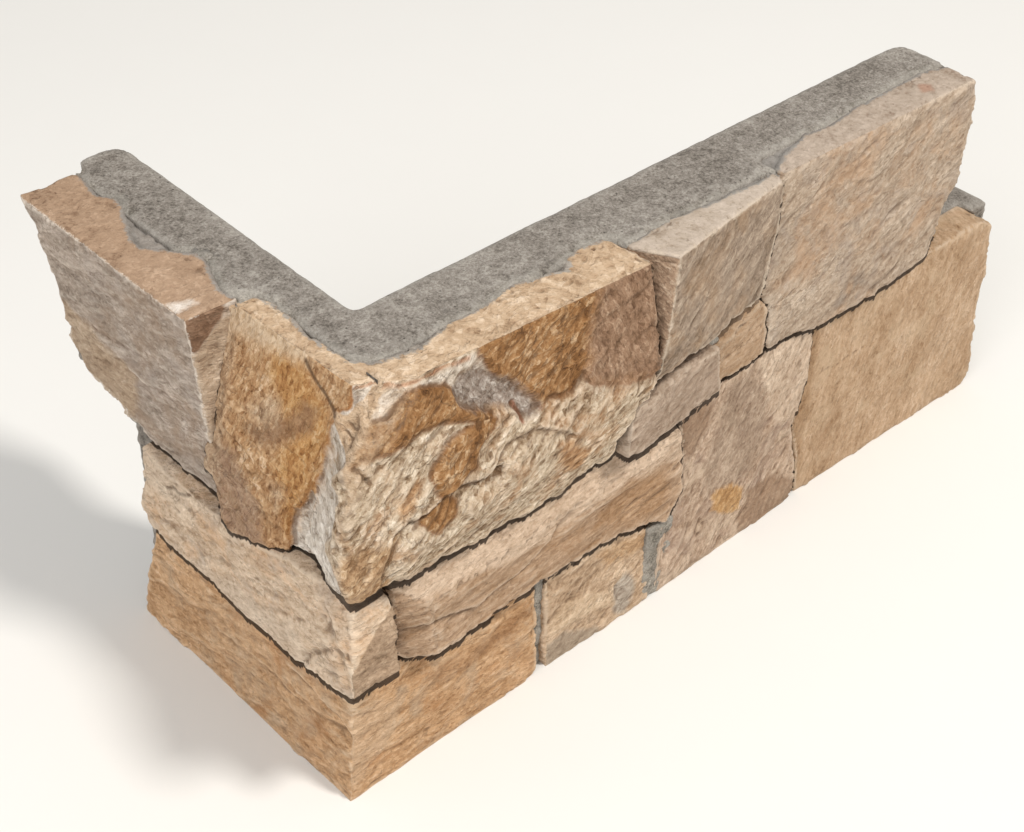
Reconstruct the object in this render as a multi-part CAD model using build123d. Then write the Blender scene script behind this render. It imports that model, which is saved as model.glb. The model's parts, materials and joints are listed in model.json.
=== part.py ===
from build123d import *
import os

# driving sizes of the panel, in millimetres
height = 200
step_height = 110
long_top_length = 330
long_step = 50
short_top_length = 155
short_step = 50
face_stand_off = 50
bedding = 38
joint = 3

# how deep the back of each stone sits in the cement, measured from the wall face
short_top_bed = 27
corner_short_bed = 20
corner_long_bed = 29
ledge_bed = 28
long_middle_bed = 35
long_end_bed = 26
low_bed = 30

# how far out a rough stone reaches before its face is split
rough_face = 2 * bedding

# outer edges, half a joint out because every outline is drawn in by that much
head = height + joint / 2
foot = -joint / 2
long_low_length = long_top_length + long_step
short_low_length = short_top_length - short_step


# a level in courses: 0 is the bottom, 1 is the step and 2 is the top
def rise(courses):
    if courses <= 1:
        return courses * step_height
    return step_height + (courses - 1) * (height - step_height)


# a place along the long leg, as a share of its upper length
def run(share):
    return share * long_top_length


# places along the short leg, which lie to the left of the corner as the stones are faced
def side(share):
    return -share * short_top_length


def low_side(share):
    return -share * short_low_length


# a distance past the wall's corner, as a share of how far the stone faces stand off
def past(share):
    return share * face_stand_off


# seams that two stones share, as (across, up): across is X on the long leg and -Y on the short leg
short_split = side(0.206)
corner_seat = -ledge_bed + joint / 2
ledge_foot = rise(0.58)
filler_start = run(0.185)
seam_over_short_ledge = [
    (short_split, rise(0.975)), (side(0.116), rise(0.975)), (past(0.06), rise(1.044)),
    (past(0.42), rise(1.122)),
]
seam_under_short_ledge = [(low_side(0.8), rise(0.564)), (past(0.08), rise(0.573)), (past(0.56), rise(0.6))]
seam_over_long_ledge = [
    (-past(0.44), rise(1.122)), (run(0.01), rise(1.089)), (run(0.07), rise(1.056)),
    (run(0.14), rise(1.011)),
    (run(0.273), rise(1.022)),
]
seam_under_long_ledge = [
    (run(0.145), ledge_foot), (run(0.233), rise(0.564)), (run(0.315), rise(0.527)),
    (run(0.406), rise(0.4)),
]
seam_beside_ledge = [(run(0.406), step_height), (run(0.424), rise(0.8)), (run(0.433), rise(0.564))]
seam_beside_corner = [
    (run(0.273), rise(1.022)), (run(0.279), rise(1.344)), (run(0.303), rise(1.378)),
    (run(0.303), rise(1.556)),
    (run(0.318), rise(1.711)),
]
seam_end_to_middle = [(run(0.594), head), (run(0.573), rise(1.733)), (run(0.539), rise(1.456))]
seam_beside_block = [(run(0.539), rise(1.456)), (run(0.573), rise(1.333)), (run(0.576), rise(1.044))]
seam_over_low_middle = [(run(0.576), rise(1.044)), (run(0.624), rise(1.044)), (run(0.676), step_height)]
seam_low_end = [
    (run(0.7), step_height), (run(0.7), rise(0.727)), (run(0.688), rise(0.545)), (run(0.685), rise(0.455)),
    (run(0.709), rise(0.218)), (run(0.715), foot),
]


# a plane along one leg: across is to the right as the stones are faced, up is Z
def wall_plane(leg, depth):
    if leg == "long":
        return Plane(origin=(0, -depth, 0), x_dir=(1, 0, 0), z_dir=(0, -1, 0))
    return Plane(origin=(-depth, 0, 0), x_dir=(0, -1, 0), z_dir=(-1, 0, 0))


# a rough stone of this outline, half a joint smaller all round
def block(leg, bed, outline):
    drawn = make_face(Polyline(*outline, close=True))
    shape = offset(drawn, amount=-joint / 2, kind=Kind.INTERSECTION)
    return extrude(wall_plane(leg, bed) * shape, amount=rough_face - bed)


# split off what stands out past the plane through three points (across, up, proud of the wall)
def cleave(stone, leg, first, second, third):
    wall = wall_plane(leg, 0)
    a, b, c = [wall.from_local_coords(Vector(*point)) for point in (first, second, third)]
    outward = (b - a).cross(c - a).normalized()
    if outward.dot(wall.z_dir) < 0:
        outward = -outward
    reach = 4 * long_top_length
    waste = Box(reach, reach, height, align=(Align.CENTER, Align.CENTER, Align.MIN))
    return stone - Plane(origin=a, z_dir=outward) * waste


# stones of the short leg and the two corner stones
def short_top_stone():
    outline = [
        (side(0.968), head), (side(0.897), rise(1.844)), (side(0.865), rise(1.611)),
        (side(0.877), rise(1.222)),
        (side(0.819), rise(1.089)), (side(0.613), rise(1.022)), (side(0.516), rise(0.975)),
        (short_split, rise(0.975)), (short_split, head),
    ]
    stone = block("short", short_top_bed, outline)
    return cleave(
        stone, "short",
        (side(1), height, 53), (short_split, height, 51), (side(0.6), step_height, 44)
    )


def short_ledge_stone():
    outline = [
        (low_side(0.8), step_height), (low_side(0.8), rise(0.836)), (low_side(0.857), rise(0.609)),
        *seam_under_short_ledge, (past(1.22), rise(0.673)), (past(1.12), rise(0.955)),
        (past(1), rise(1.144)),
        *reversed(seam_over_short_ledge), (low_side(0.76), rise(0.975)),
    ]
    stone = block("short", ledge_bed, outline)
    stone = cleave(
        stone, "short",
        (low_side(1), ledge_foot, 50), (past(0.6), ledge_foot, 52), (side(0.2), step_height, 50)
    )
    return cleave(
        stone, "short",
        (past(0.88), rise(0.98), 50.3), (past(1.2), rise(0.727), 52), (past(1.14), rise(0.955), 47)
    )


def corner_top_stone():
    short_outline = [
        (short_split, head), (side(0.2), rise(1.178)), *seam_over_short_ledge[1:],
        (past(0.72), rise(1.156)),
        (past(0.72), head),
    ]
    short_part = block("short", corner_short_bed, short_outline)
    short_part = cleave(
        short_part, "short", (short_split, height, 30), (past(0.54), height, 28),
        (side(0.18), rise(1.122), 49),
    )
    long_outline = [
        (-past(0.36), head), (-past(1.28), rise(1.556)), (-past(1.26), rise(1.311)),
        (-past(1), rise(1.233)),
        (-past(0.56), rise(1.178)), *seam_over_long_ledge, *seam_beside_corner[1:], (run(0.324), head),
    ]
    toe = (-past(1.2), rise(1.3), 65)
    long_part = block("long", corner_long_bed, long_outline)
    long_part = cleave(
        long_part, "short", (past(0.54), rise(1.856), 32), (past(0.36), rise(1.333), 44),
        (past(1.24), rise(1.367), 59),
    )
    long_part = cleave(long_part, "long", (run(0.121), height, 47), (run(0.318), height, 50), toe)
    long_part = cleave(
        long_part, "long",
        (run(0.261), rise(1.022), 52), (-past(0.38), rise(1.122), 58), toe
    )
    long_part = cleave(
        long_part, "long",
        (-past(0.54), height, 35), (run(0.027), height, 50), (-past(1.16), rise(1.444), 64)
    )
    return short_part + long_part


def corner_bottom_stone():
    short_outline = [
        (low_side(0.943), foot), (low_side(0.857), rise(0.509)), *seam_under_short_ledge,
        (past(1.12), rise(0.6)), (past(1.12), foot),
    ]
    long_end = filler_start - joint
    long_outline = [
        (-past(1.12), foot), (-past(1.12), ledge_foot), (long_end, ledge_foot), (long_end, foot),
    ]
    stone = block("short", ledge_bed, short_outline) + block("long", low_bed, long_outline)
    stone = cleave(
        stone, "short",
        (low_side(1), rise(0.545), 45), (past(0.9), rise(0.545), 43), (past(-0.4), 0, face_stand_off)
    )
    return cleave(
        stone, "long",
        (-past(0.9), rise(0.564), 47), (run(0.176), rise(0.564), 46), (0, 0, face_stand_off)
    )


# stones of the long leg
def long_ledge_stone():
    outline = [
        (corner_seat, rise(1.122)), *seam_over_long_ledge, *seam_beside_ledge,
        *reversed(seam_under_long_ledge),
        (-past(0.36), ledge_foot), (corner_seat + 1, rise(0.655)),
    ]
    stone = block("long", low_bed, outline)
    stone = cleave(
        stone, "long",
        (-past(0.38), ledge_foot, 57), (run(0.406), rise(0.455), 52), (run(0.182), rise(0.909), 55)
    )
    stone = cleave(
        stone, "long",
        (-past(0.4), rise(1.089), 47), (run(0.273), rise(1.022), 46), (run(0.121), rise(0.873), 56)
    )
    return cleave(
        stone, "long",
        (-past(0.52), step_height, 50), (-past(0.48), rise(0.682), 48), (-past(0.2), rise(0.818), 57)
    )


def long_top_middle_stone():
    outline = [
        (run(0.358), head), (run(0.324), rise(1.667)), (run(0.306), rise(1.4)), (run(0.342), rise(1.4)),
        (run(0.376), rise(1.433)), (run(0.415), rise(1.433)), (run(0.467), rise(1.467)),
        (run(0.527), rise(1.456)),
        *reversed(seam_end_to_middle[:2]),
    ]
    stone = block("long", long_middle_bed, outline)
    stone = cleave(
        stone, "long",
        (run(0.361), height, 55), (run(0.594), height, 44), (run(0.415), rise(1.444), 61)
    )
    return cleave(
        stone, "long",
        (run(0.306), rise(1.411), 62), (run(0.521), rise(1.467), 58), (run(0.361), rise(1.778), 61.5)
    )


def long_top_end_stone():
    outline = [
        *seam_end_to_middle, *seam_beside_block[1:], *seam_over_low_middle[1:], (run(0.788), step_height),
        (run(0.921), rise(1.056)), (run(0.958), rise(1.333)), (run(0.985), rise(1.411)),
        (run(0.982), rise(1.556)),
        (run(1.003), rise(1.756)), (run(1), head),
    ]
    stone = block("long", long_end_bed, outline)
    return cleave(
        stone, "long",
        (run(0.597), height, 41), (run(1), height, 45), (run(0.848), rise(1.056), 54)
    )


def strip_stone():
    outline = [
        (run(0.279), rise(1.344)), (run(0.324), rise(1.322)), (run(0.385), rise(1.367)),
        (run(0.455), rise(1.356)),
        (run(0.464), rise(1.056)), (run(0.273), rise(1.022)),
    ]
    stone = block("long", low_bed, outline)
    return cleave(
        stone, "long",
        (run(0.279), rise(1.344), 60), (run(0.455), rise(1.356), 57), (run(0.364), rise(1.067), 60)
    )


def small_block_stone():
    outline = [
        (run(0.467), rise(1.356)), *seam_beside_block, (run(0.564), rise(1.011)),
        (run(0.467), rise(1.022)),
    ]
    stone = block("long", low_bed, outline)
    stone = cleave(
        stone, "long",
        (run(0.479), rise(1.222), 50), (run(0.564), rise(1.289), 49), (run(0.521), step_height, 51)
    )
    return cleave(
        stone, "long",
        (run(0.467), rise(1.333), 45), (run(0.545), rise(1.444), 44), (run(0.515), rise(1.278), 50)
    )


def long_low_middle_stone():
    outline = [
        (run(0.406), step_height), (run(0.564), rise(1.011)), *seam_over_low_middle[1:], *seam_low_end,
        (run(0.397), foot), (run(0.412), rise(0.209)), (run(0.412), rise(0.382)),
        *reversed(seam_beside_ledge[1:]),
    ]
    stone = block("long", low_bed, outline)
    return cleave(
        stone, "long",
        (run(0.406), step_height, 49), (run(0.7), step_height, 48), (run(0.545), 0, face_stand_off)
    )


def long_low_end_stone():
    end = long_low_length
    outline = [
        (end - 17, step_height + joint / 2), (end - 8, rise(0.955)), (end - 4, rise(0.682)),
        (end - 5, rise(0.455)),
        (end + 1, rise(0.109)), (end - 2, foot), *reversed(seam_low_end),
    ]
    stone = block("long", low_bed, outline)
    return cleave(
        stone, "long",
        (run(0.712), step_height, 45), (end - 10, step_height, 49), (run(0.909), 0, face_stand_off)
    )


def bottom_filler_stone():
    outline = [
        (filler_start, rise(0.564)), *seam_under_long_ledge[1:], (run(0.382), rise(0.236)),
        (run(0.385), rise(0.109)), (run(0.397), foot), (filler_start, foot),
    ]
    stone = block("long", low_bed, outline)
    return cleave(
        stone, "long",
        (run(0.185), rise(0.555), 47), (run(0.406), rise(0.409), 48), (run(0.273), 0, face_stand_off)
    )


# the cement that holds the stones, one course of it along both legs
def cement_course(long_end, short_end, base, top):
    long_run = Box(long_end + bedding, bedding, top - base, align=(Align.MIN, Align.MIN, Align.MIN))
    short_run = Box(bedding, short_end + bedding, top - base, align=(Align.MIN, Align.MIN, Align.MIN))
    return Pos(-bedding, -bedding, base) * (long_run + short_run)


# the room in front of the corner stone's short face, which is split back behind the cement's front
def split_corner_room():
    outline = [
        (short_split, head), (short_split, rise(1.122)), (past(0.84), rise(1.122)), (past(0.84), head),
    ]
    return block("short", corner_short_bed, outline)


def backing(stones):
    cement = cement_course(long_low_length, short_low_length, 0, step_height)
    cement += cement_course(long_top_length, short_top_length, step_height, height)
    cement -= split_corner_room()
    for stone in stones:
        cement -= stone
    return cement


pieces = {
    "short_top_stone": short_top_stone(),
    "short_ledge_stone": short_ledge_stone(),
    "corner_top_stone": corner_top_stone(),
    "corner_bottom_stone": corner_bottom_stone(),
    "long_ledge_stone": long_ledge_stone(),
    "long_top_middle_stone": long_top_middle_stone(),
    "long_top_end_stone": long_top_end_stone(),
    "strip_stone": strip_stone(),
    "small_block_stone": small_block_stone(),
    "long_low_middle_stone": long_low_middle_stone(),
    "long_low_end_stone": long_low_end_stone(),
    "bottom_filler_stone": bottom_filler_stone(),
}
pieces["backing"] = backing(list(pieces.values()))

os.makedirs("parts", exist_ok=True)
for name, piece in pieces.items():
    export_step(piece, f"parts/{name}.step")
    print(name, len(piece.solids()), "solid", round(piece.volume / 1000), "cm3")
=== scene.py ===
import json
import math

import bpy
import numpy as np
from mathutils import Matrix, Vector, noise
from mathutils.bvhtree import BVHTree
from mathutils.kdtree import KDTree

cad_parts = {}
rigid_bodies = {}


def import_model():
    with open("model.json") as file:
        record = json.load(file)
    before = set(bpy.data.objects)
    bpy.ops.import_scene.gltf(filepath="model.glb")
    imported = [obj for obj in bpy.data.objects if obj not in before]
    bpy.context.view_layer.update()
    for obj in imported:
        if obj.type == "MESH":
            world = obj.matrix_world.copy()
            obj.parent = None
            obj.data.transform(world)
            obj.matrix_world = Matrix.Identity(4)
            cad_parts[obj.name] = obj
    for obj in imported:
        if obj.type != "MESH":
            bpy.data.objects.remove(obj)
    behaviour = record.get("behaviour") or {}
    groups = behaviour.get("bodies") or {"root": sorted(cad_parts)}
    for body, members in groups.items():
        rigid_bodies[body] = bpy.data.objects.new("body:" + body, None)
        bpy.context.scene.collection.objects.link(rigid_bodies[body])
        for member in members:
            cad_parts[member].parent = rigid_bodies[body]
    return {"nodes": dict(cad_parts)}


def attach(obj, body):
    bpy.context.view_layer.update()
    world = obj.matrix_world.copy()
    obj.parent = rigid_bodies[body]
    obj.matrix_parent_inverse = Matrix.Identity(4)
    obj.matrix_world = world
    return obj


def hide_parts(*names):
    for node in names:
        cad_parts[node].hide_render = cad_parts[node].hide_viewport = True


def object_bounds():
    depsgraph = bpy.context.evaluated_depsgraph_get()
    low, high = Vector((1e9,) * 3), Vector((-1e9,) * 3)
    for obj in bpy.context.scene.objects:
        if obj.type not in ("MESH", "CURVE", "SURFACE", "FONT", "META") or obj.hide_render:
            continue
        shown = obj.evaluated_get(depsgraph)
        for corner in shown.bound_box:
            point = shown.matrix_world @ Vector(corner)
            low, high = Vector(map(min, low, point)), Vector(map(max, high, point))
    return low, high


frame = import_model()
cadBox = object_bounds()
noise.seed_set(5)   # without it, the vector noise of the scars changes from run to run

# sizes are in millimetres until a mesh is written back; Blender works in metres
mm = 0.001
cementFront = 38.0   # how far the cement stands off the wall
topLevel = 200.0
paintedShadeReach = 7.0   # painted shade falls under stone that is closer than this
daylight = Vector((-285, -372, 600))   # what an overhang shuts off from here is painted as its shadow, a dark line below it
overhangReach = 30.0
farOff = -20.0       # what a painted field holds away from its patch
skyWays = [(0, 0, 1), (-1, -1, 2), (0, -1, 1), (-1, 0, 1), (0, -3, 1), (-3, 0, 1)]   # the open sky in front
sawnFoot = 2.0       # this much of the foot stays flat
topRim = 4.0         # what lies this close to the top level belongs to the top face
boxSlack = 0.02      # no point comes closer to the CAD box than this
turnToField = 8.0    # how fast a field of top or end faces rises as a face turns that way

# the ragged line on the top face where cement ends and stone begins, from the short end round to the long end
cementEdge = [
    (-25, 160), (-25, 153), (-27, 140), (-29, 127), (-24, 119), (-27, 110), (-31, 101), (-36, 92),
    (-36, 84), (-28, 75), (-21, 68), (-22, 61), (-26, 52), (-29, 43), (-28, 36), (-22, 31), (-19, 24),
    (-20, 8), (-22, -2), (-21, -12), (-20, -20), (-15, -27), (-6, -31.5), (5, -32.5), (19, -29), (35, -30),
    (52, -26), (66, -28), (78, -32.5), (84, -27), (91, -25), (106, -27), (110, -34), (118, -36), (135, -34),
    (160, -36.5), (184, -38.5), (197, -37), (203, -34), (216, -29), (230, -26), (246, -28), (263, -25),
    (287, -25.5), (312, -24), (325, -28), (340, -34),
]


# small helpers for shapes

def clearSelection():
    for thing in bpy.context.view_layer.objects:
        thing.select_set(False)


def makeActive(thing):
    clearSelection()
    thing.select_set(True)
    bpy.context.view_layer.objects.active = thing


def easeStep(value, low, high):
    t = np.clip((value - low) / (high - low), 0.0, 1.0)
    return t * t * (3 - 2 * t)


def noiseAt(points, size, seed, octaves=4):
    moved = points / size + (seed * 13.37, seed * 7.91, seed * 3.3)
    return np.array([noise.fractal(p, 1.0, 2.0, octaves) for p in moved.tolist()])


def scarsAt(points, size, seed, uneven=0.2):   # shallow bowls that meet in crisp ridges, the way stone flakes
    moved = points / size + (seed * 3.7, seed * 11.3, seed * 6.1)
    depths = []
    for p in moved.tolist():
        spot = Vector(p)
        spot += noise.noise_vector(spot * 1.4) * 0.35
        far, centres = noise.voronoi(spot)
        depths.append(far[0] ** 2 + uneven * noise.cell(centres[0] * 7.3))
    return np.array(depths) - 0.3


def stepped(value, step, riser):   # soft slopes turned into flat layers with steep risers
    level = np.floor(value / step)
    part = value / step - level
    return (level + easeStep(part, 0.5 - riser / 2, 0.5 + riser / 2)) * step


def segmentDistance(a, z, line):   # distance to an open line, and which side: positive is to the left of its run
    best = np.full(len(a), 1e9)
    side = np.zeros(len(a))
    for (a0, z0), (a1, z1) in zip(line[:-1], line[1:]):
        da, dz = a1 - a0, z1 - z0
        share = np.clip(((a - a0) * da + (z - z0) * dz) / (da * da + dz * dz), 0, 1)
        offA, offZ = a - a0 - share * da, z - z0 - share * dz
        far = np.hypot(offA, offZ)
        near = far < best
        best = np.where(near, far, best)
        side = np.where(near, np.sign(da * offZ - dz * offA), side)
    return best, side


def insideDistance(a, z, outline):   # distance to a closed outline, positive inside
    ring = list(outline) + [outline[0]]
    far, _ = segmentDistance(a, z, ring)
    inside = np.zeros(len(a), bool)
    for (a0, z0), (a1, z1) in zip(ring[:-1], ring[1:]):
        if z0 == z1:
            continue
        inside ^= ((z0 > z) != (z1 > z)) & (a < (a1 - a0) * (z - z0) / (z1 - z0) + a0)
    return np.where(inside, far, -far)


def pointsOf(mesh):
    flat = np.zeros(len(mesh.vertices) * 3)
    mesh.vertices.foreach_get("co", flat)
    return flat.reshape(-1, 3) / mm


def setPoints(mesh, points):
    mesh.vertices.foreach_set("co", (points * mm).ravel())
    mesh.update()


def normalsOf(mesh):
    flat = np.zeros(len(mesh.vertices) * 3)
    mesh.vertex_normals.foreach_get("vector", flat)
    return flat.reshape(-1, 3)


def edgesOf(mesh):
    flat = np.zeros(len(mesh.edges) * 2, dtype=np.int64)
    mesh.edges.foreach_get("vertices", flat)
    return flat.reshape(-1, 2)


def relaxed(values, edges, weight, rounds):
    one, two = edges[:, 0], edges[:, 1]
    count = np.bincount(edges.ravel(), minlength=len(values)).astype(float)
    for _ in range(rounds):
        mean = np.empty_like(values)
        for axis in range(3):
            column = values[:, axis]
            mean[:, axis] = np.bincount(one, column[two], len(values)) + np.bincount(two, column[one], len(values))
        values = values + (mean / count[:, None] - values) * weight[:, None]
    return values


def crestOf(points, edges, normals):   # how far each point stands over its surroundings
    smooth = relaxed(points, edges, np.full(len(points), 0.5), 8)
    return ((points - smooth) * normals).sum(axis=1)


def storeField(mesh, name, values):
    field = mesh.attributes.new(name, "FLOAT", "POINT")
    field.data.foreach_set("value", np.clip(values, farOff, -farOff).astype(np.float32))


# a rough copy of a CAD node, ready for its relief
def roughCopy(node, name, voxel, fillers=()):
    piece = frame["nodes"][node].copy()
    piece.data = frame["nodes"][node].data.copy()
    piece.name = piece.data.name = name
    for key in list(piece.keys()):
        del piece[key]
    piece.parent = None
    bpy.context.collection.objects.link(piece)
    piece.data.materials.clear()
    makeActive(piece)
    bpy.ops.object.mode_set(mode="EDIT")
    bpy.ops.mesh.select_all(action="SELECT")
    bpy.ops.mesh.remove_doubles(threshold=0.02 * mm)
    bpy.ops.mesh.dissolve_limited(angle_limit=math.radians(1))
    bpy.ops.object.mode_set(mode="OBJECT")
    arrises = sharpEdges(piece.data)
    for low, high, *turn in fillers:   # lumps that the remesh joins on
        clearSelection()
        centre = [(l + h) / 2 * mm for l, h in zip(low, high)]
        turn = [math.radians(t) for t in (turn[0] if turn else (0, 0, 0))]
        bpy.ops.mesh.primitive_cube_add(size=1, location=centre, rotation=turn)
        lump = bpy.context.active_object
        lump.scale = [(h - l) * mm for l, h in zip(low, high)]
        bpy.ops.object.transform_apply(location=True, rotation=True, scale=True)
        lump.select_set(True)
        piece.select_set(True)
        bpy.context.view_layer.objects.active = piece
        bpy.ops.object.join()
    makeActive(piece)
    remesh = piece.modifiers.new("grain size", "REMESH")
    remesh.mode = "VOXEL"
    remesh.voxel_size = voxel * 1.0 * mm
    bpy.ops.object.modifier_apply(modifier=remesh.name)
    return piece, arrises


def sharpEdges(mesh):   # points a millimetre apart along the outer arrises
    points = pointsOf(mesh)
    faces = {}
    for polygon in mesh.polygons:
        for key in polygon.edge_keys:
            faces.setdefault(key, []).append(polygon)
    dots = []
    for (first, second), pair in faces.items():
        if len(pair) != 2:
            continue
        one, two = pair
        turn = one.normal.angle(two.normal, 0)
        outward = (two.center - one.center).dot(one.normal) < 0   # a ridge, not a valley
        if turn < math.radians(18) or not outward:
            continue
        start, end = points[first], points[second]
        steps = max(2, int(np.linalg.norm(end - start)))
        for share in np.linspace(0, 1, steps):
            dots.append(start + (end - start) * share)
    return dots


def nearArris(points, dots):
    tree = KDTree(len(dots))
    for index, dot in enumerate(dots):
        tree.insert(dot, index)
    tree.balance()
    return np.array([tree.find(p)[2] for p in points.tolist()])


def storePaintedShade(stones):   # painted shade and painted shadow: how much of the sky close by other stones hide, and what an overhang shuts off from the daylight spot
    corners, faces, owners = [], [], []
    for stone in stones:
        first = len(corners)
        corners += pointsOf(stone.data).tolist()
        faces += [[first + corner for corner in polygon.vertices] for polygon in stone.data.polygons]
        owners += [stone.name] * len(stone.data.polygons)
    cover = BVHTree.FromPolygons(corners, faces)

    def hides(stone, start, way, reach):
        face = cover.ray_cast(start, way, reach)[2]
        return face is not None and owners[face] != stone.name

    sky = [Vector(way).normalized() for way in skyWays]
    for stone in stones:
        points, normals = pointsOf(stone.data), normalsOf(stone.data)
        starts = (points + normals * 1.1).tolist()
        raised = (points + normals * 0.2 + np.array((0, 0, 1.3))).tolist()
        proud = np.maximum(-points[:, 0], -points[:, 1]) > cementFront - 3
        hidden = np.zeros(len(points))
        for index in np.flatnonzero(proud & (points[:, 2] < topLevel - 3)).tolist():
            toLight = (daylight - Vector(raised[index])).normalized()
            if hides(stone, raised[index], toLight, overhangReach):   # painted shadow: the dark line below an overhang
                hidden[index] = 1.0
            else:
                # painted shade: the share of the near sky that other stones hide
                hidden[index] = sum(hides(stone, starts[index], way, paintedShadeReach) for way in sky) / len(sky)
        storeField(stone.data, "paintedShadeField", hidden)


def sidesOf(normals, front):   # the faces that a stone turns to its neighbours
    across, deep, up = normals.T
    ends = {"long": np.abs(across), "short": np.abs(deep), "corner": np.maximum(across, deep)}[front]
    return easeStep(ends, 0.5, 0.8), easeStep(np.abs(up), 0.5, 0.8)


def layerAxes(normal):   # a turn that puts the rock's layers level
    up = Vector(normal).normalized()
    along = Vector((1, 0, 0)) - up * up.x
    if along.length < 0.2:
        along = Vector((0, 1, 0)) - up * up.y
    along.normalize()
    return Matrix((along, up.cross(along), up)).transposed()


# what is placed on a stone's front, across and up, or on the side it names: "long", "short", "corner", "plan"
def patch(line, **more):   # an area with a tone, a height or a calm of its own
    return {"kind": "patch", "line": line, **more}


def ledge(line, **more):   # the right hand of the line drops back, then runs out again
    return {"kind": "ledge", "line": line, **more}


def crack(line, **more):
    return {"kind": "crack", "line": line, **more}


def stain(field, tones, **more):   # other tones where a stored field is above nought
    return {"field": field, "tones": tones, **more}


spotStretch = 2.5   # how much longer than wide the grain is where a stain turns it
commonMark = {"paint": None, "slope": 1.0, "width": 0.8, "wander": 1.0, "lift": 0.0, "calm": 1.0, "round": 0.0}
commonStain = {
    "ragged": 4.0, "grow": 0.0, "soft": 0.5, "strength": 1.0, "rim": None, "rimWidth": 1.0, "rimStrength": 0.7,
    "layers": None,
}


def placed(side, points, normals):   # which points a mark may touch, and its two coordinates there
    x, y, z = points.T
    faceLong = -normals[:, 1] > -normals[:, 0]
    upright = normals[:, 2] < 0.75
    if side == "long":
        return faceLong & upright, x, z
    if side == "short":
        return ~faceLong & upright, -y, z
    if side == "corner":
        return upright, x - y, z
    return (z > topLevel - 10) & ~upright, x, y   # "plan"


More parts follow.
